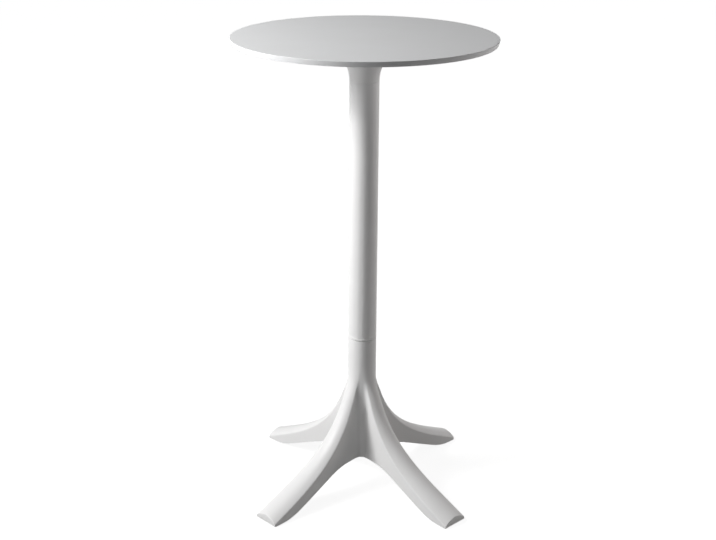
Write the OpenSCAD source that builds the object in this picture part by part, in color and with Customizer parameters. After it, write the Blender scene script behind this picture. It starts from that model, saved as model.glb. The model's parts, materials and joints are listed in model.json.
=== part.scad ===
// Round bar table on one column, with a cast base of four curved legs.
// The origin is the centre of the footprint on the floor, +Z is up, and the legs lie on the diagonals.

/* [Top] */
// Diameter of the round top
top_d = 600; // [500:10:800]
// Thickness of the top
top_t = 12; // [10:1:20]
// Rounding of the rim, above and below
top_round = 1; // [0.5:0.5:3]
// Height of the top surface above the floor
table_h = 1110; // [900:10:1200]

/* [Column] */
// Outer diameter of the column, the neck of the head and the hub of the base
column_d = 68; // [60:1:76]
// Wall of the column tube
column_wall = 2.5; // [2:0.5:4]
// Height of the ring between the column and the base
ring_h = 9; // [8:1:12]
// Length of each spigot of that ring
ring_spigot_l = 40; // [25:5:60]
// Wall of the spigots
spigot_wall = 6; // [4:0.5:8]
// Bevel beside the two seams of the ring
seam_bevel = 1; // [0.4:0.2:1.2]
// Height of the shadow gap between the ring and the base
seam_gap = 1; // [0.6:0.2:1.6]
// Depth of that gap
seam_depth = 3; // [2:0.5:4]

/* [Head] */
// Radius of the trumpet curve under the top
flare_r = 84; // [76:1:100]
// Diameter of the flange that carries the top
flange_d = 240; // [200:5:250]
// Thickness of the flange at its rim
flange_t = 4; // [3:0.5:6]
// Wall of the trumpet
head_wall = 4.5; // [3.5:0.5:6]
// Thickness of the web that the rod pulls on
head_web_t = 8; // [6:1:12]
// Length of the spigot inside the column
head_spigot_l = 45; // [30:5:60]
// Number of screws into the top, and of ribs inside the trumpet
screw_count = 6; // [4:1:8]
// Distance from the screws to the rim of the flange
screw_inset = 14; // [11:1:16]

/* [Base] */
// Distance from the axis to the end of each leg
leg_reach = 316; // [280:2:360]
// Width of a leg at its end
leg_tip_w = 67; // [56:1:80]
// Width of a leg where it leaves the hub
leg_hub_w = 36; // [30:1:40]
// Height of the hub, up to the ring
hub_h = 385; // [365:5:420]
// Height at which the legs begin to leave the round hub
spring_h = 340; // [325:5:350]
// Height of the arch between the legs
arch_h = 74; // [62:1:78]
// Height of the side faces at the end of a leg
tip_side_h = 6; // [4:0.5:8]
// Rise of the crowned upper face at the end of a leg
tip_crown = 14; // [10:0.5:18]
// Slope of the upper edges at the end of a leg, in degrees
tip_slope = 24; // [20:1:28]
// Slope of the lower edges between the arch and the foot, in degrees
under_slope = 23; // [20:0.2:25]
// Length of the flat foot under each leg
foot_l = 52; // [46:1:62]
// Radius of the hollow corner between two legs
valley_r = 22; // [16:1:26]
// Wall of the casting
base_wall = 5; // [4:0.5:6]
// Thickness of the ribs in the legs
rib_t = 4; // [3:0.5:5]
// Rounding along the edges of the legs
leg_round = 2; // [1:0.5:3]
// Bore of the hub
hub_bore_d = 52; // [44:1:54]
// Height of the web in the hub
hub_web_z = 104; // [96:1:120]
// Thickness of that web
hub_web_t = 8; // [6:1:12]

/* [Levelling feet] */
// Gap between the floor and the legs with the feet screwed in
foot_gap = 3; // [2.5:0.5:6]
// Distance from the end of the leg to the axis of its foot
foot_inset = 29; // [26:1:34]
// Diameter of the pad
pad_d = 30; // [24:1:34]
// Height of the pad
pad_h = 8; // [7:0.5:9]
// Thickness of the soft sole
sole_t = 2; // [1.5:0.5:2.5]
// Diameter of the screw of a foot
stem_d = 8; // [6:1:8]
// Width across the flats of its collar
stem_flats = 13; // [11:1:15]
// Travel of a foot
foot_travel = 6; // [4:1:7]

/* [Fasteners] */
// Diameter of the tie rod
rod_d = 10; // [8:1:12]
// Diameter of the clamp plate under the hub's web
clamp_d = 46; // [36:1:46]
// Thickness of the clamp plate
clamp_t = 6; // [4:1:8]
// Diameter of the screws into the top
screw_d = 6; // [5:1:6]
// Outer diameter of the inserts in the top
insert_d = 9; // [8.5:0.5:11]
// Length of the inserts in the top
insert_l = 8; // [6:0.5:8]

/* [Hidden] */

$fn = 96;
white = [0.93, 0.93, 0.93];
steel = [0.62, 0.63, 0.65];
brass = [0.78, 0.66, 0.38];
black = [0.14, 0.14, 0.15];

// Clearances
slip_gap = 0.1;      // between a spigot and its bore, on the radius
thread_gap = 0.05;   // between a thread and its nut or insert, on the radius
hole_gap = 0.5;      // between a bolt and a plain hole, on the radius
over = 1;            // how far a cut passes a face

// Heights of the stack
under_top = table_h - top_t;
flare_z = under_top - flange_t - flare_r;
ring_z = hub_h;
column_z = ring_z + ring_h;
column_l = flare_z - column_z;
column_r = column_d / 2;
tube_bore_d = column_d - 2 * column_wall;

// Fasteners on the axis
nut_h = 0.8 * rod_d;
nut_flats = 1.7 * rod_d;
washer_t = 2;
washer_d = 2 * rod_d;
rod_spare = 0.5 * rod_d;
low_washer_z = hub_web_z - clamp_t - washer_t;
low_nut_z = low_washer_z - nut_h;
high_washer_z = flare_z + head_web_t;
high_nut_z = high_washer_z + washer_t;
rod_z = low_nut_z - rod_spare;
rod_l = high_nut_z + nut_h + rod_spare - rod_z;

// Screws into the top
screw_r = flange_d / 2 - screw_inset;
screw_head_d = 2 * screw_d;
screw_head_h = 0.6 * screw_d;
seat_t = flange_t + 2;
screw_l = seat_t + insert_l - 1;

// Levelling feet
foot_u = leg_reach - foot_inset;
collar_h = 3;
pin_d = stem_d - 2;
pin_l = pad_h - sole_t - 1;
pin_gap = 0.2;
sole_d = pad_d - 4;
sole_proud = 0.8;
boss_z = pad_h + collar_h + 0.5;
foot_insert_d = stem_d + 4;
foot_insert_l = 14;
stem_top_z = boss_z + foot_insert_l - 1;
boss_d = foot_insert_d + 8;
leg_angles = [45, 135, 225, 315];

// Form of a leg, in its own plane: u runs out from the axis, v runs across and z runs up.
// Four sizes shape the line of the upper edges between the hub and the end.
hub_half = leg_hub_w / 2;
tip_half = leg_tip_w / 2;
hub_u = sqrt(column_r * column_r - hub_half * hub_half);
end_bevel = 1.2;     // bevel round the end face
side_reach = leg_reach - end_bevel;
pull_h = 90;         // how far that line runs straight down the hub
knee_u = 63;         // pull of the bend, outwards
knee_z = 115;        // pull of the bend, height
tail_l = 160;        // pull of the end, along its slope
tip_edge_z = foot_gap + tip_side_h;
tip_mid_z = foot_gap + (tip_side_h + tip_crown) / 2;
edge_pull = [
    [hub_u, spring_h],
    [hub_u, spring_h - pull_h],
    [knee_u, knee_z],
    [side_reach - tail_l * cos(tip_slope), tip_edge_z + tail_l * sin(tip_slope)],
    [side_reach, tip_edge_z]
];
crown_pull = [column_r - hub_u, 9, 12.5, tip_crown];
arch_blend = 14;     // smoothing where the arch turns into the slope
heel_blend = 12;     // smoothing where the slope turns into the foot
valley_top = 318;    // below this height the corner between two legs begins to form
valley_z = 224;      // below this height it is fully formed
leave_t = 0.43;      // share of the edge line that lies above the arch
under_pace = 1.35;   // how the steps along the lower edge grow towards the end
heel_u = leg_reach - foot_l;
leg_splay = 6.2;     // angle at which the sides of a leg spread beside that corner
fillet_u = hub_half + valley_r * (cos(leg_splay) + sin(leg_splay));
fillet_mid = fillet_u - valley_r * sin(leg_splay);
valley_u = fillet_mid - valley_r / sqrt(2);
width_pull = [hub_half, hub_half + tan(leg_splay) * (leg_reach - fillet_u) / 3, tip_half - 0.5, tip_half];
rib_count = 3;       // cross ribs in a leg
rib_recess = 8;      // how far the ribs stay above the lower edges
hollow_first = 6;    // the line of the skin at which the hollow of a leg begins

// Steps of the skin
hub_steps = 12;
leg_steps = 22;
crown_steps = 4;
round_steps = 3;
side_steps = 5;
last_step = hub_steps + leg_steps;
half_cols = crown_steps + round_steps + side_steps;
strip = 2 * half_cols + 1;

function mix(a, b, k) = a + (b - a) * k;
function clamp01(x) = min(1, max(0, x));
function ease(x) = let (c = clamp01(x)) c * c * (3 - 2 * c);
function soft_min(a, b, k) = let (h = max(k - abs(a - b), 0)) min(a, b) - h * h / (4 * k);
function soft_max(a, b, k) = -soft_min(-a, -b, k);
function unit(p) = p / norm(p);

// A smooth curve pulled by any number of points
function pulled(p, t) = len(p) == 1 ? p[0] : pulled([for (i = [0:len(p) - 2]) mix(p[i], p[i + 1], t)], t);
function edge_at(t) = pulled(edge_pull, t);
function edge_heading(t) = unit(pulled([for (i = [0:3]) edge_pull[i + 1] - edge_pull[i]], t));

// The crown rises square to the edge line, and upright at the end of the leg
function crown_way(t) =
    let (d = edge_heading(t), a = atan2(-d[1], d[0]), b = a - tip_slope * ease((t - 0.6) / 0.4))
    [sin(b), cos(b)];
function leg_share(u) = clamp01((u - hub_u) / (leg_reach - hub_u));
function crown_rise(u) = pulled(crown_pull, sqrt(leg_share(u)));

// Half width of a leg, at a distance from the axis
function half_width(u) = pulled(width_pull, clamp01((u - fillet_u) / (leg_reach - fillet_u)));

// Height of the lower edges
function under_z(u) =
    soft_max(foot_gap, soft_min(arch_h, foot_gap + (heel_u - u) * tan(under_slope), arch_blend), heel_blend);

// Side faces, with the hollow corner that two legs share
function side_v(u) =
    u >= fillet_u ? half_width(u) : fillet_mid - sqrt(max(0, pow(valley_r, 2) - pow(fillet_mid - u, 2)));

// Share of the full corner at a height: none on the round hub, all of it lower down
function corner_share(z) = ease((valley_top - z) / (valley_top - valley_z));

// Where the line across the side face ends: on the corner line, then along the lower edge
function share(i) = i <= hub_steps ? leave_t * i / hub_steps
                                   : leave_t + (1 - leave_t) * (i - hub_steps) / leg_steps;
function out_share(i) = clamp01((i - hub_steps) / leg_steps);
leave_edge = edge_at(leave_t);
function corner_z(i) = edge_at(share(i))[1] - (leave_edge[1] - arch_h) * pow(i / hub_steps, 2);
function lower_u(i, from, to) = mix(from, to, pow(out_share(i), under_pace));
function side_end(i) =
    i <= hub_steps ? [valley_u, corner_z(i)]
                   : let (u = lower_u(i, valley_u, side_reach)) [u, under_z(u)];

// One point of the side face, s from 0 at the upper edge to 1 at its end
function side_point(i, s) =
    let (e = edge_at(share(i)),
         f = side_end(i),
         c = corner_share(e[1]),
         u = mix(e[0], f[0], s),
         z = mix(e[1], f[1], s),
         a = mix(asin(hub_half / column_r), 45, s))
    c < 1 ? [mix(column_r * cos(a), u, c), mix(column_r * sin(a), side_v(u), c), z] : [u, side_v(u), z];

// One point of the crowned face, s from 0 on its middle to 1 at the edge
function crown_point(i, s) =
    let (t = share(i),
         e = side_point(i, 0),
         rise = crown_rise(e[0]),
         r = (e[1] * e[1] + rise * rise) / (2 * rise),
         g = sqrt(max(0, r * r - pow(s * e[1], 2))) - (r - rise),
         w = crown_way(t))
    [e[0] + g * w[0], s * e[1], e[2] + g * w[1]];

// Half of one cross line of the skin, from the middle of the crown to the end of the side face.
// The points draw together towards a hollow corner.
function half_line(i) =
    let (e = side_point(i, 0),
         f = side_point(i, 1),
         s = leg_round / norm(f - e),
         pace = side_end(i)[0] < fillet_u ? 2 : 1,
         a = crown_point(i, 1 - leg_round / e[1]),
         b = side_point(i, s))
    concat(
        [for (j = [0:crown_steps - 1]) crown_point(i, (1 - leg_round / e[1]) * j / crown_steps)],
        [for (j = [0:round_steps - 1]) pulled([a, e, b], j / round_steps)],
        [for (j = [0:side_steps]) side_point(i, mix(1, s, pow(1 - j / side_steps, pace)))]
    );

function turned(p, a) = [p[0] * cos(a) - p[1] * sin(a), p[0] * sin(a) + p[1] * cos(a), p[2]];
function mirrored(p) = [p[0], -p[1], p[2]];

// A whole cross line of one leg, from its right end over the crown to its left end
function full_line(i, a) =
    let (h = half_line(i), n = half_cols)
    [for (j = [-n:n]) turned(j < 0 ? mirrored(h[-j]) : h[j], a)];

// Two neighbouring legs share the points of their common corner line
function ring_points(i) =
    [for (a = leg_angles) let (c = full_line(i, a)) for (j = [0:strip - 2]) c[j]];
function leg_points(i) = [for (a = leg_angles) each full_line(i, a)];
ring_size = 4 * (strip - 1);

// The hub goes up from the first line as a round collar with a bevelled top
function collar_ring(z, r) = [for (p = ring_points(0)) let (q = r * unit([p[0], p[1]])) [q[0], q[1], z]];
// The end face of a leg is set in a little, which leaves a bevel round it
function end_face(p, a) =
    let (q = turned(p, -a), z = mix(q[2], tip_mid_z, 2 * end_bevel / (tip_side_h + tip_crown)))
    turned([leg_reach, q[1] * (1 - end_bevel / tip_half), z], a);

// Cross lines in order: collar, hub, legs, end faces
collar_rings = 2;
function at(i, m, j) =
    i <= hub_steps
    ? (i + collar_rings) * ring_size + (m * (strip - 1) + j) % ring_size
    : (hub_steps + 1 + collar_rings) * ring_size + ((i - hub_steps - 1) * 4 + m) * strip + j;

module leg_skin() {
    points = concat(
        collar_ring(hub_h, column_r - seam_bevel),
        collar_ring(hub_h - seam_bevel, column_r),
        [for (i = [0:hub_steps]) each ring_points(i)],
        [for (i = [hub_steps + 1:last_step]) each leg_points(i)],
        [for (a = leg_angles) for (p = full_line(last_step, a)) end_face(p, a)]
    );
    skin = [
        for (i = [-collar_rings:last_step], m = [0:3], j = [0:strip - 2])
            [at(i, m, j), at(i, m, j + 1), at(i + 1, m, j + 1), at(i + 1, m, j)]
    ];
    underside = [
        for (i = [hub_steps:last_step], m = [0:3])
            [at(i, m, strip - 1), at(i, m, 0), at(i + 1, m, 0), at(i + 1, m, strip - 1)]
    ];
    ends = [for (m = [0:3]) [for (j = [0:strip - 1]) at(last_step + 1, m, (j + half_cols) % strip)]];
    hub_top = [for (j = [ring_size - 1:-1:0]) j];
    hub_floor = [for (m = [0:3]) at(hub_steps, m, 0)];
    polyhedron(points = points, faces = concat(skin, underside, ends, [hub_top], [hub_floor]), convexity = 8);
}

// The hollow of one leg, open below: the same lines, one wall further in
hollow_u = hub_bore_d / 2 + base_wall;
hollow_end_u = leg_reach - base_wall;
hollow_lines = [for (i = [hollow_first:2:last_step]) i];
function hollow_line(i) =
    let (t = share(i),
         e = edge_at(t),
         w = crown_way(t),
         y = out_share(i),
         in_u = base_wall * max(w[0], y * y),
         half = side_v(e[0]) - base_wall,
         rise = crown_rise(e[0]),
         u = i <= hub_steps ? hollow_u : lower_u(i, hollow_u, hollow_end_u),
         z = (i <= hub_steps ? corner_z(i) : under_z(u)) - over * clamp01(i / hub_steps),
         low_half = side_v(u) - base_wall)
    [
        [u, -low_half, z],
        for (s = [-1:0.5:1])
            let (g = rise * (1 - s * s))
            [e[0] - in_u + g * w[0], s * half, e[1] + (g - base_wall) * w[1]],
        [u, low_half, z]
    ];

module leg_hollow() {
    n = len(hollow_line(last_step));
    last = len(hollow_lines) - 1;
    points = [for (i = hollow_lines) each hollow_line(i)];
    sides = [
        for (i = [0:last - 1], j = [0:n - 1])
            let (k = (j + 1) % n)
            [i * n + j, i * n + k, (i + 1) * n + k, (i + 1) * n + j]
    ];
    first_face = [for (j = [n - 1:-1:0]) j];
    last_face = [for (j = [0:n - 1]) last * n + j];
    polyhedron(points = points, faces = concat(sides, [first_face], [last_face]), convexity = 4);
}

// Ribs and the boss that stay standing in the hollow of a leg
module leg_ribs() {
    spine_end = foot_u - pad_d / 2 - rib_t;
    rotate([90, 0, 0]) linear_extrude(rib_t, center = true)
        polygon([
            for (u = [hollow_u - over:12:spine_end]) [u, under_z(u) + rib_recess],
            [spine_end, hub_h],
            [hollow_u - over, hub_h]
        ]);
    for (k = [1:rib_count]) {
        u = hollow_u + (spine_end - hollow_u) * k / rib_count;
        translate([u - rib_t / 2, -tip_half, under_z(u) + rib_recess])
            cube([rib_t, leg_tip_w, hub_h]);
    }
    translate([foot_u, 0, boss_z]) cylinder(d = boss_d, h = hub_h);
}

module base_casting() {
    color(white) difference() {
        leg_skin();
        for (a = leg_angles) rotate(a) difference() {
            leg_hollow();
            leg_ribs();
        }
        for (a = leg_angles) rotate(a) translate([foot_u, 0, boss_z - over])
            cylinder(d = foot_insert_d + 2 * thread_gap, h = over + foot_insert_l + thread_gap);
        translate([0, 0, -over]) cylinder(d = hub_bore_d, h = over + hub_web_z);
        translate([0, 0, hub_web_z - over]) cylinder(d = rod_d + 2 * hole_gap, h = hub_web_t + 2 * over);
        translate([0, 0, hub_web_z + hub_web_t]) cylinder(d = hub_bore_d, h = hub_h);
    }
}

// Upper parts
module bored(d, bore, h) {
    difference() {
        cylinder(d = d, h = h);
        translate([0, 0, -over]) cylinder(d = bore, h = h + 2 * over);
    }
}
module bevelled(r, h, bevel) {
    rotate_extrude() polygon([[0, 0], [r - bevel, 0], [r, bevel], [r, h - bevel], [r - bevel, h], [0, h]]);
}

module table_top() {
    r = top_d / 2;
    color(white) translate([0, 0, under_top]) difference() {
        rotate_extrude($fn = 180) union() {
            square([r - top_round, top_t]);
            translate([0, top_round]) square([r, top_t - 2 * top_round]);
            for (z = [top_round, top_t - top_round]) translate([r - top_round, z]) circle(top_round);
        }
        at_screws() translate([0, 0, -over])
            cylinder(d = insert_d + 2 * thread_gap, h = over + insert_l + thread_gap);
    }
}

module at_screws() {
    for (k = [0:screw_count - 1]) rotate((k + 0.5) * 360 / screw_count) translate([screw_r, 0, 0]) children();
}

module top_inserts() {
    color(brass) translate([0, 0, under_top]) at_screws()
        bored(insert_d, screw_d + 2 * thread_gap, insert_l);
}

module top_screws() {
    socket_d = 0.75 * screw_d;
    color(steel) translate([0, 0, under_top - seat_t]) at_screws() difference() {
        union() {
            cylinder(d = screw_d, h = screw_l);
            translate([0, 0, -screw_head_h]) cylinder(d = screw_head_d, h = screw_head_h);
        }
        translate([0, 0, -screw_head_h - over]) cylinder(d = socket_d, h = over + screw_head_h / 2, $fn = 6);
    }
}

// Trumpet head: one quarter turn of a circle from the neck to the flange
module trumpet_outline() {
    difference() {
        square([flange_d / 2, flare_r + flange_t]);
        translate([column_r + flare_r, 0]) circle(flare_r);
        translate([column_r + flare_r, -over]) square([flange_d, flare_r + over]);
    }
}
module trumpet_hollow() {
    hollow_h = flare_r + flange_t + over;
    difference() {
        translate([0, head_web_t]) square([screw_r - screw_head_d, hollow_h - head_web_t]);
        translate([column_r + flare_r, 0]) circle(flare_r + head_wall);
    }
}
module top_bracket() {
    spigot_r = tube_bore_d / 2 - slip_gap;
    color(white) translate([0, 0, flare_z]) difference() {
        union() {
            rotate_extrude() trumpet_outline();
            translate([0, 0, -head_spigot_l]) cylinder(r = spigot_r, h = head_spigot_l);
        }
        difference() {
            rotate_extrude() trumpet_hollow();
            for (k = [0:screw_count - 1]) rotate(k * 360 / screw_count)
                translate([nut_flats, -rib_t / 2, 0]) cube([flange_d, rib_t, flare_r + flange_t - rib_recess / 2]);
        }
        translate([0, 0, -head_spigot_l - over]) cylinder(r = spigot_r - spigot_wall, h = head_spigot_l + over);
        translate([0, 0, -over]) cylinder(d = rod_d + 2 * hole_gap, h = head_web_t + 2 * over);
        translate([0, 0, flare_r + flange_t - seat_t]) at_screws() {
            translate([0, 0, -over]) cylinder(d = screw_d + 2 * hole_gap, h = seat_t + 2 * over);
            mirror([0, 0, 1]) cylinder(d = screw_head_d + 2 * hole_gap, h = flare_r / 2);
        }
    }
}

module column_tube() {
    color(white) translate([0, 0, column_z]) bored(column_d, tube_bore_d, column_l);
}

module centring_ring() {
    low_r = hub_bore_d / 2 - slip_gap;
    high_r = tube_bore_d / 2 - slip_gap;
    color(white) translate([0, 0, ring_z]) difference() {
        union() {
            rotate_extrude() polygon([
                [0, 0], [column_r - seam_depth, 0], [column_r - seam_depth, seam_gap],
                [column_r - seam_bevel, seam_gap], [column_r, seam_gap + seam_bevel],
                [column_r, ring_h - seam_bevel], [column_r - seam_bevel, ring_h], [0, ring_h]
            ]);
            translate([0, 0, -ring_spigot_l]) cylinder(r = low_r, h = ring_spigot_l + ring_h / 2);
            translate([0, 0, ring_h / 2]) cylinder(r = high_r, h = ring_h / 2 + ring_spigot_l);
        }
        translate([0, 0, -ring_spigot_l - over])
            cylinder(r = low_r - spigot_wall, h = ring_h + 2 * ring_spigot_l + 2 * over);
    }
}

// Fasteners on the axis
module hex_nut(flats, bore, h) {
    difference() {
        cylinder(d = flats / cos(30), h = h, $fn = 6);
        translate([0, 0, -over]) cylinder(d = bore, h = h + 2 * over);
    }
}

module tie_rod() {
    color(steel) translate([0, 0, rod_z]) bevelled(rod_d / 2, rod_l, 1);
}

module rod_nuts() {
    color(steel) for (z = [low_nut_z, high_nut_z]) translate([0, 0, z])
        hex_nut(nut_flats, rod_d + 2 * thread_gap, nut_h);
}

module rod_washers() {
    color(steel) for (z = [low_washer_z, high_washer_z]) translate([0, 0, z])
        bored(washer_d, rod_d + 2 * hole_gap, washer_t);
}

module clamp_plate() {
    color(steel) translate([0, 0, hub_web_z - clamp_t]) bored(clamp_d, rod_d + 2 * hole_gap, clamp_t);
}

// Levelling feet
module at_foot(n) {
    rotate(leg_angles[n - 1]) translate([foot_u, 0, 0]) children();
}

module foot_inserts() {
    color(brass) for (n = [1:4]) at_foot(n) translate([0, 0, boss_z])
        bored(foot_insert_d, stem_d + 2 * thread_gap, foot_insert_l);
}

module leveller_stem(n) {
    color(steel) at_foot(n) {
        translate([0, 0, pad_h - pin_l + pin_gap]) cylinder(d = pin_d, h = pin_l);
        translate([0, 0, pad_h]) cylinder(d = stem_flats / cos(30), h = collar_h, $fn = 6);
        translate([0, 0, pad_h + collar_h / 2]) cylinder(d = stem_d, h = stem_top_z - pad_h - collar_h / 2);
    }
}

module leveller_pad(n) {
    color(black) at_foot(n) difference() {
        rotate_extrude() polygon([
            [0, sole_proud], [pad_d / 2, sole_proud], [pad_d / 2, pad_h / 2], [pad_d / 2 - 3, pad_h], [0, pad_h]
        ]);
        translate([0, 0, sole_proud - over]) cylinder(d = sole_d + 2 * slip_gap, h = over + sole_t - sole_proud);
        translate([0, 0, pad_h - pin_l]) cylinder(d = pin_d + 2 * thread_gap, h = pin_l + over);
    }
}

module leveller_sole(n) {
    color(black) at_foot(n) cylinder(d = sole_d, h = sole_t);
}

table_top();
top_inserts();
top_screws();
top_bracket();
column_tube();
centring_ring();
base_casting();
tie_rod();
rod_nuts();
rod_washers();
clamp_plate();
foot_inserts();
for (n = [1:4]) {
    leveller_stem(n);
    leveller_pad(n);
    leveller_sole(n);
}
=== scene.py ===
# %% [markdown]
# # A white bar table, dressed in Blender
# The table is a round top on a slim column, which stands on a cast base with four curved legs.
# Its CAD model gives every piece its size and place, and this lesson gives each piece the finish that the
# real one has, stands it on a pale floor, and lights it as a small photo studio would.

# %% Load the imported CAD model
import json
import math

import bpy
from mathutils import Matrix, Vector


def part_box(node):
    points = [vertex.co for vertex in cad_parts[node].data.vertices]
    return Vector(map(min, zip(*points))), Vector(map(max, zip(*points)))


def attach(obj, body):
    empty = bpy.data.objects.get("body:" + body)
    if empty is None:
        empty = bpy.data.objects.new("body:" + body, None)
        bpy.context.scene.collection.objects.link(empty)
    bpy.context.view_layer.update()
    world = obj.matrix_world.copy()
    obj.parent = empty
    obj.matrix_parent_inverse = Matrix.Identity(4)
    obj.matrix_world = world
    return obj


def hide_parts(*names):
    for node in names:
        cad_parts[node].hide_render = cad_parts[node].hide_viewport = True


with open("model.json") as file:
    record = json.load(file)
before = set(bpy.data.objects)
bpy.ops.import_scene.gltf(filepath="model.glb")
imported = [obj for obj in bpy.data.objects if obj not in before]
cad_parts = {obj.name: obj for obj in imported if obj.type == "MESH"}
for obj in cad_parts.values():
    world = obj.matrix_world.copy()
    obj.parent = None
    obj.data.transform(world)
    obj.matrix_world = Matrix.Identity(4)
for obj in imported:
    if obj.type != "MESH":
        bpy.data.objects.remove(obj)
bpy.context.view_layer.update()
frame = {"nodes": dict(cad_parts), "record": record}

nodes = frame["nodes"]

# %% [markdown]
# ## The camera
# The photograph was taken from a little above the table top with a short telephoto lens, so the round top
# shows as a flat ellipse and the column hardly narrows towards the floor.
# A camera could be placed by eye, but here its place and lens were worked out from the ellipse of the top,
# the edges of the column and the tips of the legs, because a degree of tilt already shows on a round top.
# The place is in metres, the turn in degrees, and lens and sensor in millimetres.

# %% Place the camera
CAMERA_PLACE = (0.006676, -2.795254, 1.586105)
CAMERA_TURN = (69.7771, -0.3918, 0.5146)
CAMERA_LENS, SENSOR_WIDTH = 63.0994, 36.0

camera_data = bpy.data.cameras.new("studio_camera")
camera_data.lens = CAMERA_LENS
camera_data.sensor_width = SENSOR_WIDTH
camera = bpy.data.objects.new("studio_camera", camera_data)
camera.location = CAMERA_PLACE
camera.rotation_euler = [math.radians(a) for a in CAMERA_TURN]
bpy.context.scene.collection.objects.link(camera)
bpy.context.scene.camera = camera
print("camera", tuple(round(v, 3) for v in camera.location), "lens", round(camera_data.lens, 1), "mm")

# %% [markdown]
# ## Small tools for the shaders
# A finish such as powder coat is a recipe of textures and sums. Wiring each sum by hand hides the recipe,
# so one small class wraps the output of a node and lets Python's own signs add the Math nodes.

# %% Helpers for shader sums
class Value:
    """One output in a material, on which Python's signs work as Math nodes."""

    def __init__(self, recipe, output):
        self.recipe, self.output = recipe, output

    def sum(self, operation, first, second):
        return self.recipe.add("ShaderNodeMath", {"operation": operation}, {0: first, 1: second})

    def __add__(self, other):
        return self.sum("ADD", self, other)

    def __radd__(self, other):
        return self.sum("ADD", other, self)

    def __mul__(self, other):
        return self.sum("MULTIPLY", self, other)

    def __rmul__(self, other):
        return self.sum("MULTIPLY", other, self)

    def most(self, other):
        """The larger of two values."""
        return self.sum("MAXIMUM", self, other)


class Recipe:
    """A new material, or the world, with one method that adds any node."""

    def __init__(self, owner):
        owner.use_nodes = True
        self.tree = owner.node_tree
        self.tree.nodes.clear()

    def add(self, kind, settings=None, inputs=None, output=0):
        node = self.tree.nodes.new(kind)
        for name, setting in (settings or {}).items():
            setattr(node, name, setting)
        for name, given in (inputs or {}).items():
            if isinstance(given, Value):
                self.tree.links.new(given.output, node.inputs[name])
            else:
                node.inputs[name].default_value = given
        return Value(self, node.outputs[output]) if len(node.outputs) else None


print("shader helpers ready")

# %% Helpers for the recipes that follow
def noise(recipe, place, scale, detail=2.0, roughness=0.5):
    """Soft random values about 0.5, at a scale given in waves per metre."""
    return recipe.add("ShaderNodeTexNoise", {}, {"Vector": place, "Scale": scale, "Detail": detail,
                                                 "Roughness": roughness})


def spread(recipe, value, low, high, to_low=0.0, to_high=1.0):
    """Maps the stretch from low to high onto the one from to_low to to_high, and holds the ends."""
    return recipe.add("ShaderNodeMapRange", {"clamp": True},
                      {"Value": value, "From Min": low, "From Max": high,
                       "To Min": to_low, "To Max": to_high})


MIX_SHARE, MIX_FIRST, MIX_SECOND, MIX_RESULT = 0, 6, 7, 2


def mix_colours(recipe, share, first, second):
    """A colour between two colours."""
    inputs = {MIX_SHARE: share, MIX_FIRST: first, MIX_SECOND: second}
    return recipe.add("ShaderNodeMix", {"data_type": "RGBA"}, inputs, output=MIX_RESULT)


def bumps(recipe, strength, distance, height):
    """A surface that seems raised by up to a distance in metres."""
    return recipe.add("ShaderNodeBump", {}, {"Strength": strength, "Distance": distance, "Height": height})


def grey(level, warmth=0.0):
    """A near-white or grey colour; a little warmth takes blue away."""
    return (level, level * (1 - 0.5 * warmth), level * (1 - warmth), 1)


def finish_material(name, build):
    """Makes a material from a recipe that returns the inputs of one Principled shader."""
    material = bpy.data.materials.new(name)
    recipe = Recipe(material)
    place = recipe.add("ShaderNodeTexCoord", {}, {}, output="Object")
    shader = recipe.add("ShaderNodeBsdfPrincipled", {}, build(recipe, place))
    recipe.add("ShaderNodeOutputMaterial", {}, {"Surface": shader})
    print("material", name, "with", len(recipe.tree.nodes), "nodes")
    return material


print("recipe helpers ready")

# %% [markdown]
# ## Satin white powder coat
# Head, column, ring and base are sprayed with one white polyester powder and baked. The powder melts into a
# film with a faint orange peel: waves of about 3 mm, a few hundredths of a millimetre high, over a finer
# grain. An image texture could show that, but noise on Object coordinates has the same size on every piece
# and has no seams. A very wide noise, the cloud, keeps the white from being one flat colour.

# %% Powder coat
def powder_coat(recipe, place):
    peel = noise(recipe, place, 330.0, detail=2.0)
    grain = noise(recipe, place, 2100.0, detail=1.0)
    cloud = noise(recipe, place, 9.0, detail=3.0)
    tone = mix_colours(recipe, spread(recipe, cloud, 0.3, 0.7), grey(0.845, 0.012), grey(0.872, 0.006))
    return {"Base Color": tone,
            "Roughness": spread(recipe, cloud + grain * 0.4, 0.4, 1.0, 0.36, 0.46),
            "Specular IOR Level": 0.30,
            "Normal": bumps(recipe, 0.16, 0.00035, peel * 0.75 + grain * 0.25)}


powder_white = finish_material("powder_white", powder_coat)

# %% [markdown]
# ## White compact laminate
# The top is a slab of compact laminate: papers soaked in resin and pressed to a hard board. Its face has a
# pressed pearl texture that is finer and flatter than the powder coat's peel, and shines a little less.
# A texture of round cells comes closer to such pearls than plain noise does.

# %% Compact laminate
def pearl_laminate(recipe, place):
    pearl = recipe.add("ShaderNodeTexVoronoi", {"feature": "SMOOTH_F1"},
                       {"Vector": place, "Scale": 900.0, "Smoothness": 0.8})
    fine = noise(recipe, place, 2600.0, detail=1.0)
    cloud = noise(recipe, place, 6.0, detail=3.0)
    tone = mix_colours(recipe, spread(recipe, cloud, 0.3, 0.7), grey(0.852, -0.012), grey(0.875, -0.018))
    return {"Base Color": tone,
            "Roughness": spread(recipe, cloud + pearl * 0.5, 0.4, 1.1, 0.40, 0.50),
            "Specular IOR Level": 0.08,
            "Normal": bumps(recipe, 0.12, 0.0002, pearl + fine * 0.4)}


laminate_white = finish_material("laminate_white", pearl_laminate)

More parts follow.
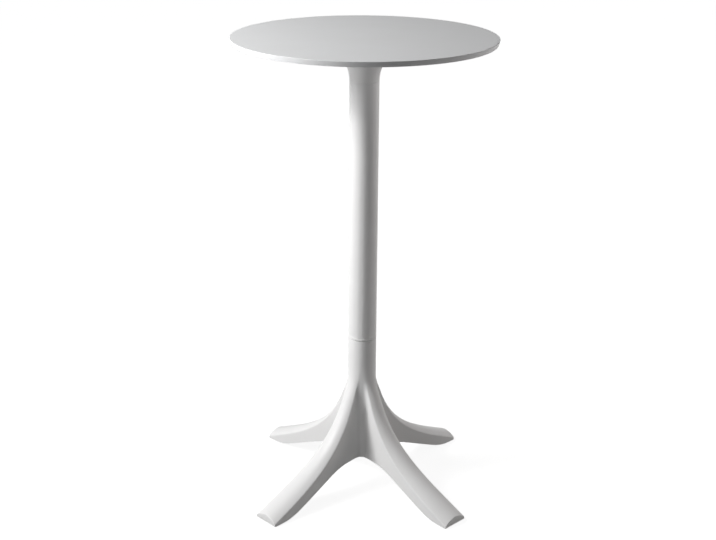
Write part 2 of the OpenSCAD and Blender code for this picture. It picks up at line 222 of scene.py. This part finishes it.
# %% [markdown]
# ## Zinc, brass, nylon and rubber
# The fasteners are zinc-plated steel: bright, slightly blue, with cloudy patches where the plating is
# thicker. The inserts are turned brass, with fine rings from the lathe tool. The pads of the levelling feet
# are black nylon with the even grain of a spark-eroded mould, and their soles are rubber, which is duller
# still. Plain colours would do from afar, but with a texture of its own each finish also holds up close by.

# %% Zinc-plated steel
def zinc_plate(recipe, place):
    patches = noise(recipe, place, 260.0, detail=4.0, roughness=0.6)
    scratches = noise(recipe, place, 1900.0, detail=2.0)
    thin, thick = (0.56, 0.57, 0.59, 1), (0.70, 0.71, 0.72, 1)
    return {"Base Color": mix_colours(recipe, spread(recipe, patches, 0.35, 0.65), thin, thick),
            "Metallic": 1.0,
            "Roughness": spread(recipe, patches, 0.3, 0.7, 0.26, 0.42),
            "Normal": bumps(recipe, 0.10, 0.0001, scratches)}


zinc_steel = finish_material("zinc_steel", zinc_plate)

# %% Turned brass
def turned_brass(recipe, place):
    rings = recipe.add("ShaderNodeTexWave", {"wave_type": "BANDS", "bands_direction": "Z"},
                       {"Vector": place, "Scale": 620.0, "Distortion": 0.6, "Detail": 1.0})
    tarnish = noise(recipe, place, 190.0, detail=3.0)
    bright, dull = (0.83, 0.66, 0.34, 1), (0.62, 0.46, 0.22, 1)
    return {"Base Color": mix_colours(recipe, spread(recipe, tarnish, 0.35, 0.7), bright, dull),
            "Metallic": 1.0,
            "Roughness": spread(recipe, tarnish, 0.3, 0.7, 0.28, 0.44),
            "Normal": bumps(recipe, 0.15, 0.0001, rings)}


brass = finish_material("brass", turned_brass)

# %% Moulded nylon and rubber
def moulded(tone, scale, rough):
    """A recipe for a dark moulding with an even grain, and a little dust on it."""
    def build(recipe, place):
        grain = noise(recipe, place, scale, detail=2.0)
        dust = noise(recipe, place, 70.0, detail=4.0, roughness=0.65)
        clean, dusty = grey(tone), grey(tone * 2.1)
        return {"Base Color": mix_colours(recipe, spread(recipe, dust, 0.45, 0.8), clean, dusty),
                "Roughness": spread(recipe, dust, 0.3, 0.8, rough, rough + 0.12),
                "Normal": bumps(recipe, 0.3, 0.0002, grain)}
    return build


black_nylon = finish_material("black_nylon", moulded(0.032, 1500.0, 0.42))
rubber = finish_material("rubber", moulded(0.022, 900.0, 0.72))

# %% [markdown]
# ## Every CAD piece gets its finish
# The record names the finish of each piece as a material slot. The finishes could be set piece by piece, but
# handed out by that name they can't get mixed up.

# %% Hand out the finishes
finishes = {"powder_white": powder_white, "laminate_white": laminate_white, "zinc_steel": zinc_steel,
            "brass": brass, "black_nylon": black_nylon, "rubber": rubber}
slot_named = {part["node"]: part["material_slot"] for part in frame["record"]["subparts"]}
for name, slot in slot_named.items():
    nodes[name].data.materials.clear()
    nodes[name].data.materials.append(finishes[slot])
print("finished", len(slot_named), "pieces")

# %% [markdown]
# ## Smooth skins
# A CAD piece arrives as loose triangles, each with its own flat shade, so a cast form looks cut from facets.
# Every piece but the threaded ones gets a skin: a copy, merged into shared points, whose soft edges are
# shaded smooth while its real edges stay crisp. Subdivision would round the form too, but would also change
# its size.

# %% Helpers for picking
CUT_NEAR = 0.000001


def pick_none():
    bpy.ops.object.select_all(action="DESELECT")


def pick(piece):
    pick_none()
    piece.select_set(True)
    bpy.context.view_layer.objects.active = piece


def edit_all(piece):
    """Opens one piece in edit mode with all of it selected."""
    pick(piece)
    bpy.ops.object.mode_set(mode="EDIT")
    bpy.ops.mesh.select_all(action="SELECT")


def leave_edit():
    bpy.ops.mesh.select_all(action="DESELECT")
    bpy.ops.object.mode_set(mode="OBJECT")


def cut_level(height, **ways):
    """Cuts what is selected in edit mode with a level plane."""
    bpy.ops.mesh.bisect(plane_co=(0, 0, height), plane_no=(0, 0, 1), threshold=CUT_NEAR, **ways)


print("a cut takes a point as on its plane within", CUT_NEAR * 1000, "mm")

# %% Helpers for skins
SKIN_MERGE = 0.00002
SOFT_ANGLE = 32
body_named = {name: body for body, members in frame["record"]["behaviour"]["bodies"].items()
              for name in members}


def merged_copy(node_name):
    """A copy of a CAD piece as one skin of shared points, ready to be shaped."""
    source = nodes[node_name]
    skin = source.copy()
    skin.data = source.data.copy()
    skin.name = node_name + "_skin"
    for key in list(skin.keys()):
        if key.startswith("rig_"):
            del skin[key]
    skin.parent = None
    bpy.context.scene.collection.objects.link(skin)
    edit_all(skin)
    bpy.ops.mesh.remove_doubles(threshold=SKIN_MERGE)
    leave_edit()
    return skin


def take_over(skin, node_name):
    """Shades a skin smooth where its faces meet at a small angle, and lets it stand for its node."""
    pick(skin)
    bpy.ops.object.shade_smooth_by_angle(angle=math.radians(SOFT_ANGLE))
    weigh = skin.modifiers.new("even_shade", "WEIGHTED_NORMAL")
    weigh.keep_sharp = True
    bpy.ops.object.modifier_apply(modifier=weigh.name)
    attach(skin, body_named[node_name])
    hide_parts(node_name)
    print(skin.name, len(skin.data.vertices), "points", len(skin.data.polygons), "faces")


def draw_in(piece, low, high, share, beyond=0.0):
    """Draws in what lies between two heights and beyond a radius, towards the z axis."""
    pick(piece)
    for vertex in piece.data.vertices:
        vertex.select = low <= vertex.co.z <= high and math.hypot(vertex.co.x, vertex.co.y) > beyond
    print(piece.name, "points drawn in:", sum(vertex.select for vertex in piece.data.vertices))
    bpy.ops.object.mode_set(mode="EDIT")
    bpy.ops.transform.resize(value=(share, share, 1), center_override=(0, 0, 0))
    leave_edit()


print("edges under", SOFT_ANGLE, "degrees are shaded smooth")

# %% Pieces that keep their CAD form
PLAIN_SKINS = ["top_bracket", "centring_ring", "top_inserts", "top_screws", "rod_nuts", "rod_washers",
               "clamp_plate", "foot_inserts"]
PLAIN_SKINS += [f"leveller_{piece}_{n}" for piece in ("pad", "sole") for n in (1, 2, 3, 4)]
for name in PLAIN_SKINS:
    take_over(merged_copy(name), name)

# %% [markdown]
# ## The joint of the column
# Tube and ring meet in a fine groove, which the photograph shows as a thin line with a pale lip below it. The
# ring's edges are bevelled in the CAD model, and the tube is cut off square. Here its lower edge gets a bevel
# too: a cut just above the edge adds a row of points, and then the lowest row is drawn in. The Bevel modifier
# would round the upper edge as well.

# %% Bevel the foot of the tube
TUBE_BEVEL, EDGE_BAND = 0.0008, 0.0003
tube_low, tube_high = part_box("column_tube")
tube_radius, tube_foot = tube_high[0], tube_low[2]
tube_skin = merged_copy("column_tube")
edit_all(tube_skin)
cut_level(tube_foot + TUBE_BEVEL)
leave_edit()
draw_in(tube_skin, tube_foot - EDGE_BAND, tube_foot + EDGE_BAND, 1 - TUBE_BEVEL / tube_radius,
        tube_radius - 0.5 * TUBE_BEVEL)
take_over(tube_skin, "column_tube")

# %% [markdown]
# ## The rim of the top
# The rim of the top is not upright: it leans in towards its lower edge by a few millimetres, which makes a
# thick slab look thin. Light from above slides off such a rim, so its front is darker than the column below.
# The whole lower edge is selected by its place and drawn in with one resize about the axis of the table.

# %% Lean the rim in
RIM_LEAN, RIM_BAND = 0.0030, 0.002
top_low, top_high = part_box("table_top")
top_radius = top_high[0]
top_skin = merged_copy("table_top")
draw_in(top_skin, top_low[2], (top_low[2] + top_high[2]) / 2, 1 - RIM_LEAN / top_radius,
        top_radius - RIM_BAND)
take_over(top_skin, "table_top")

# %% [markdown]
# ## The corners between the legs
# Under the column the base has a flat web between two legs, which narrows downwards until the side faces of
# the legs meet in a tight corner. The CAD casting has one plain round of 22 mm there, so the skin is moved
# along the middle line of each corner. A sculpting brush could do that too, but a rule gives all four corners
# the same form. Each corner lies on the x or the y axis: along it is outwards, and across it is to the side.
# Unrounded, the sides of two legs would meet 21 mm from the axis of the table.

# %% The lines of a corner
ROUND_RADIUS, TIGHT_RADIUS = 0.022, 0.0115
CORNER_PLACE, CORNER_SLOPE = 0.0213, 1.244
HALF_ANGLE = math.atan(1 / CORNER_SLOPE)
ROUND_REACH = ROUND_RADIUS * math.cos(HALF_ANGLE)


def ease(value, low, high):
    """A soft step from 0 at low to 1 at high."""
    share = min(1.0, max(0.0, (value - low) / (high - low)))
    return share * share * (3 - 2 * share)


def soft_most(first, second, blend):
    """The larger of two lengths, with a soft change from one to the other."""
    near = max(blend - abs(first - second), 0.0)
    return max(first, second) + near * near / (4 * blend)


def corner_line(across, radius):
    """How far out a rounded corner lies, at a distance to the side of its middle line."""
    if abs(across) > radius * math.cos(HALF_ANGLE):
        return CORNER_PLACE + CORNER_SLOPE * abs(across)
    return CORNER_PLACE + radius / math.sin(HALF_ANGLE) - math.sqrt(radius ** 2 - across ** 2)


print("corner reaches", round(ROUND_REACH * 1000, 1), "mm to each side")

# %% [markdown]
# ## How a corner moves
# The tight round goes up to the web, which lies further out the higher it is, and both fade out below the
# ring. The arch under the corner hangs a little lower than the CAD casting's, most of all in its middle.
# One function gives both moves for a point, so that the corner stays one smooth surface. A point belongs to
# the corner if it lies near the CAD casting's round, or a little less near where that blends into the hub.

# %% The move of a corner
WEB_PLACE, WEB_RISE, WEB_BLEND = 0.0262, 0.0092, 0.004
WEB_FOOT, WEB_HEAD = 0.180, 0.236
FADE_FOOT, FADE_HEAD = 0.240, 0.305
ARCH_DROP, ARCH_FOOT, ARCH_HEAD = 0.0022, 0.076, 0.115
BORE_REACH = 0.031
ROUND_HEAD, ROUND_NEAR, HUB_NEAR = 0.223, 0.0006, 0.004


def corner_move(across, height):
    """How far a point of a corner moves outwards and upwards."""
    web = WEB_PLACE + WEB_RISE * ease(height, WEB_FOOT, WEB_HEAD)
    tight = soft_most(web, corner_line(across, TIGHT_RADIUS), WEB_BLEND)
    fade = 1 - ease(height, FADE_FOOT, FADE_HEAD)
    drop = ARCH_DROP * (1 - abs(across) / ROUND_REACH) * (1 - ease(height, ARCH_FOOT, ARCH_HEAD))
    return (tight - corner_line(across, ROUND_RADIUS)) * fade, -drop


def in_corner(along, across, height):
    """True on the outside of the CAD round, and false on the legs, in the hollow and in the bore."""
    if abs(across) >= ROUND_REACH or height > FADE_HEAD or math.hypot(along, across) < BORE_REACH:
        return False
    near = ROUND_NEAR if height < ROUND_HEAD else HUB_NEAR
    return abs(along - corner_line(across, ROUND_RADIUS)) < near


print("the middle of an arch moves", [round(v * 1000, 1) for v in corner_move(0.0, ARCH_FOOT)], "mm")

# %% Tighten the corners
base_skin = merged_copy("base_casting")
moved = 0
for vertex in base_skin.data.vertices:
    x, y, z = vertex.co
    out_x, out_y = (math.copysign(1, x), 0) if abs(x) > abs(y) else (0, math.copysign(1, y))
    along, across = x * out_x + y * out_y, y * out_x - x * out_y
    if in_corner(along, across, z):
        outwards, upwards = corner_move(across, z)
        vertex.co += Vector((out_x * outwards, out_y * outwards, upwards))
        moved += 1
take_over(base_skin, "base_casting")
print("corner points moved:", moved)

# %% [markdown]
# ## Real threads
# The tie rod and the screws of the levelling feet are threaded bars. Rings would look like a thread from
# afar, but they don't climb. The Screw modifier sweeps the outline of one turn around the axis and lifts it
# by one pitch per turn, which is how a lathe cuts a thread. The sweep starts a little more than one turn too
# low and ends too high. Then both ends are cut flat, and their last turns are drawn in a little.

# %% Thread a bar
THREAD_DEPTH, CREST_LOW, CREST_HIGH = 0.6, 0.44, 0.56
TURNS_BELOW, TURNS_SPARE = 1.03, 3
THREAD_MERGE = 0.00001


def threaded_bar(name, radius, pitch, low, high, steps):
    """A bar with a helical thread along z, cut flat at both heights."""
    root = radius - THREAD_DEPTH * pitch
    outline = bpy.data.meshes.new(name)
    outline.from_pydata([(root, 0, 0), (radius, 0, CREST_LOW * pitch), (radius, 0, CREST_HIGH * pitch),
                         (root, 0, pitch)], [(0, 1), (1, 2), (2, 3)], [])
    bar = bpy.data.objects.new(name, outline)
    bar.location = (0, 0, low - TURNS_BELOW * pitch)
    bpy.context.scene.collection.objects.link(bar)
    pick(bar)
    sweep = bar.modifiers.new("sweep", "SCREW")
    sweep.steps = sweep.render_steps = steps
    sweep.screw_offset = pitch
    sweep.iterations = math.ceil((high - low) / pitch) + TURNS_SPARE
    sweep.use_merge_vertices = True
    bpy.ops.object.modifier_apply(modifier=sweep.name)
    bpy.ops.object.transform_apply(location=True, rotation=True, scale=True)
    edit_all(bar)
    bpy.ops.mesh.remove_doubles(threshold=THREAD_MERGE)
    cut_level(low, use_fill=True, clear_inner=True)
    bpy.ops.mesh.select_all(action="SELECT")
    cut_level(high, use_fill=True, clear_outer=True)
    bpy.ops.mesh.select_all(action="SELECT")
    bpy.ops.mesh.normals_make_consistent(inside=False)
    leave_edit()
    turns = round((high - low) / pitch, 1)
    print(name, "with", len(bar.data.polygons), "faces and", turns, "turns")
    return bar


print("a thread is", THREAD_DEPTH, "of its pitch deep")

# %% Tie rod
ROD_PITCH, ROD_STEPS = 0.0015, 16
END_LENGTH, ROD_END = 0.0006, 0.88
rod_low, rod_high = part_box("tie_rod")
tie_rod = threaded_bar("tie_rod_threaded", rod_high[0], ROD_PITCH, rod_low[2], rod_high[2], ROD_STEPS)
draw_in(tie_rod, rod_high[2] - END_LENGTH, rod_high[2], ROD_END)
draw_in(tie_rod, rod_low[2], rod_low[2] + END_LENGTH, ROD_END)
tie_rod.data.materials.append(zinc_steel)
take_over(tie_rod, "tie_rod")

# %% [markdown]
# ## Screws of the levelling feet
# Each foot has one turned piece: a plain pin that snaps into the pad, a hexagon for the spanner, and the M8
# thread above it. One is modelled at the middle of the table and copied to the four feet, each copy with its
# own mesh, because four separate models would only differ by mistake.

# %% Thread of the levelling screw
SCREW_RADIUS, SCREW_PITCH, SCREW_STEPS, SCREW_END = 0.004, 0.00125, 28, 0.86
HEXAGON_LOW, HEXAGON_HIGH, HEXAGON_FLATS = 0.008, 0.011, 0.013
THREAD_SINK = 0.0005
stem_low, stem_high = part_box("leveller_stem_1")
screw = threaded_bar("levelling_screw", SCREW_RADIUS, SCREW_PITCH, HEXAGON_HIGH - THREAD_SINK, stem_high[2],
                     SCREW_STEPS)
draw_in(screw, stem_high[2] - END_LENGTH, stem_high[2], SCREW_END)

# %% Hexagon and pin
HEXAGON_BEVEL, PIN_RADIUS, PIN_LENGTH, PIN_BEVEL = 0.0006, 0.003, 0.005, 0.0003


def turned_bar(sides, radius, low, high, bevel, bevelled):
    """A bar along z with bevelled edges or corners, its first corner above the x axis."""
    pick_none()
    bpy.ops.mesh.primitive_cylinder_add(vertices=sides, radius=radius, depth=high - low,
                                        location=(0, 0, (low + high) / 2),
                                        rotation=(0, 0, math.radians(-90)))
    bar = bpy.context.active_object
    bpy.ops.object.transform_apply(location=True, rotation=True, scale=True)
    edit_all(bar)
    bpy.ops.mesh.bevel(offset=bevel, segments=2, affect=bevelled)
    leave_edit()
    print("bar of", sides, "sides with", len(bar.data.polygons), "faces")
    return bar


hexagon = turned_bar(6, HEXAGON_FLATS / 2 / math.cos(math.radians(30)), HEXAGON_LOW, HEXAGON_HIGH,
                     HEXAGON_BEVEL, "VERTICES")
pin = turned_bar(32, PIN_RADIUS, stem_low[2], stem_low[2] + PIN_LENGTH, PIN_BEVEL, "EDGES")

# %% Join the levelling screw
pick(screw)
hexagon.select_set(True)
pin.select_set(True)
bpy.ops.object.join()
screw.data.materials.append(zinc_steel)
print("levelling screw with", len(screw.data.polygons), "faces")

# %% A copy for each foot
for n in (1, 2, 3, 4):
    foot_low, foot_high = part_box(f"leveller_pad_{n}")
    foot_x, foot_y = (foot_low[0] + foot_high[0]) / 2, (foot_low[1] + foot_high[1]) / 2
    copy = screw.copy()
    copy.data = screw.data.copy()
    copy.name = f"levelling_screw_{n}"
    bpy.context.scene.collection.objects.link(copy)
    copy.rotation_euler = (0, 0, math.atan2(foot_y, foot_x))
    copy.location = (foot_x, foot_y, 0)
    pick(copy)
    bpy.ops.object.transform_apply(location=True, rotation=True, scale=True)
    take_over(copy, f"leveller_stem_{n}")
bpy.data.objects.remove(screw)

# %% [markdown]
# ## Floor and background
# The photograph has a plain white ground. More light would make a grey floor white, but would burn out the
# table. So the floor shows white only to the camera and to shiny surfaces, and still takes the table's soft
# shadow, because a part of its white is real light that falls on it. The room is dark, and its white is seen
# but lights nothing.

# %% What sees the white ground
WHITE = (1, 1, 1, 1)


def looked_at(recipe):
    """1 where the camera, a mirror image or a view through glass looks, and 0 for light on things."""
    ways = [recipe.add("ShaderNodeLightPath", {}, {}, way)
            for way in ("Is Camera Ray", "Is Glossy Ray", "Is Transmission Ray")]
    return ways[0].most(ways[1]).most(ways[2])


print("ground helper ready")

# %% Floor
FLOOR_SIZE, FLOOR_GREY = 40, 0.30
GLOW_START, GLOW_END = 0.9, 2.4
GLOW_NEAR, GLOW_FAR = 0.90, 1.0
bpy.ops.mesh.primitive_plane_add(size=FLOOR_SIZE, location=(0, 0, 0))
floor = bpy.context.active_object
floor.name = "studio_floor"
floor_material = bpy.data.materials.new("studio_floor")
recipe = Recipe(floor_material)
seen = looked_at(recipe)
matte = recipe.add("ShaderNodeBsdfDiffuse", {}, {"Color": (FLOOR_GREY, FLOOR_GREY, FLOOR_GREY, 1)})
place = recipe.add("ShaderNodeTexCoord", {}, {}, output="Object")
away = recipe.add("ShaderNodeVectorMath", {"operation": "LENGTH"}, {0: place}, output="Value")
brightness = spread(recipe, away, GLOW_START, GLOW_END, GLOW_NEAR, GLOW_FAR)
glow = recipe.add("ShaderNodeEmission", {}, {"Color": WHITE, "Strength": brightness})
lit = recipe.add("ShaderNodeAddShader", {}, {0: matte, 1: glow})
both = recipe.add("ShaderNodeMixShader", {}, {0: seen, 1: matte, 2: lit})
recipe.add("ShaderNodeOutputMaterial", {}, {"Surface": both})
floor.data.materials.append(floor_material)
print("floor of", FLOOR_SIZE, "m with", len(recipe.tree.nodes), "nodes")

# %% World
AMBIENT, BACKGROUND = 0.0, 1.0
world = bpy.data.worlds.new("studio")
bpy.context.scene.world = world
recipe = Recipe(world)
seen = looked_at(recipe)
dim = recipe.add("ShaderNodeBackground", {}, {"Color": WHITE, "Strength": AMBIENT})
white = recipe.add("ShaderNodeBackground", {}, {"Color": WHITE, "Strength": BACKGROUND})
both = recipe.add("ShaderNodeMixShader", {}, {0: seen, 1: dim, 2: white})
recipe.add("ShaderNodeOutputWorld", {}, {"Surface": both})
print("world with", len(recipe.tree.nodes), "nodes")

# %% [markdown]
# ## Lights
# A white piece on white ground is shaped by shadow, so the light comes almost from one side. A wall of soft
# boxes stands at the left, 10 to 25 degrees in front of the table, from tabletop height up to almost three
# metres. One low box at the front left opens the shadows on the near legs. Weak boxes at the right, of
# slightly warmer light, give the dark side of the column a pale edge. One bare lamp would be simpler, but its
# shadows would be hard. Reach and height are in metres, and power is in watts.

# %% Soft boxes
def around(turn, reach, height):
    """A place at an angle in degrees from the front, negative to the left, a distance and a height."""
    angle = math.radians(turn)
    return (reach * math.sin(angle), -reach * math.cos(angle), height)


def soft_box(name, place, aim, width, height, power, tint):
    """An area light at a place, turned towards a point."""
    data = bpy.data.lights.new(name, "AREA")
    data.shape = "RECTANGLE"
    data.size, data.size_y = width, height
    data.energy, data.color = power, tint
    lamp = bpy.data.objects.new(name, data)
    lamp.location = place
    lamp.rotation_euler = (Vector(aim) - Vector(place)).to_track_quat("-Z", "Y").to_euler()
    bpy.context.scene.collection.objects.link(lamp)
    print(name, "at", [round(v, 2) for v in place], power, "W")


print("a turn of -90 degrees is at", [round(v, 2) for v in around(-90, 1, 0)])

# %% Hang the lamps
NEUTRAL, WARM = (1.0, 1.0, 1.0), (1.0, 0.97, 0.955)
AIM = (0, 0, 0.75)
SMALL, WIDE, LARGE = (0.6, 0.5), (0.8, 0.6), (0.9, 0.8)
STUDIO = (("key_light", (-77, 1.95, 1.9), SMALL, 25.0, NEUTRAL),
          ("key_light_front", (-66, 1.95, 2.3), SMALL, 17.7, NEUTRAL),
          ("key_light_high", (-77, 1.95, 2.3), SMALL, 9.8, NEUTRAL),
          ("key_light_top", (-66, 1.95, 2.8), SMALL, 4.5, NEUTRAL),
          ("low_light", (-77, 1.95, 1.1), SMALL, 11.3, NEUTRAL),
          ("front_light", (-35, 2.4, 0.6), WIDE, 4.8, NEUTRAL),
          ("side_light", (90, 2.2, 1.4), LARGE, 6.6, WARM),
          ("side_light_low", (90, 2.2, 0.5), LARGE, 5.0, WARM),
          ("back_light", (120, 2.2, 0.5), LARGE, 4.4, WARM))
for name, place, size, power, tint in STUDIO:
    soft_box(name, around(*place), AIM, *size, power, tint)

# %% [markdown]
# ## Plain colours
# The Standard view shows each colour about as it is written, where a film look would bend the whites.

# %% Sizes for the record
bpy.context.scene.view_settings.view_transform = "Standard"
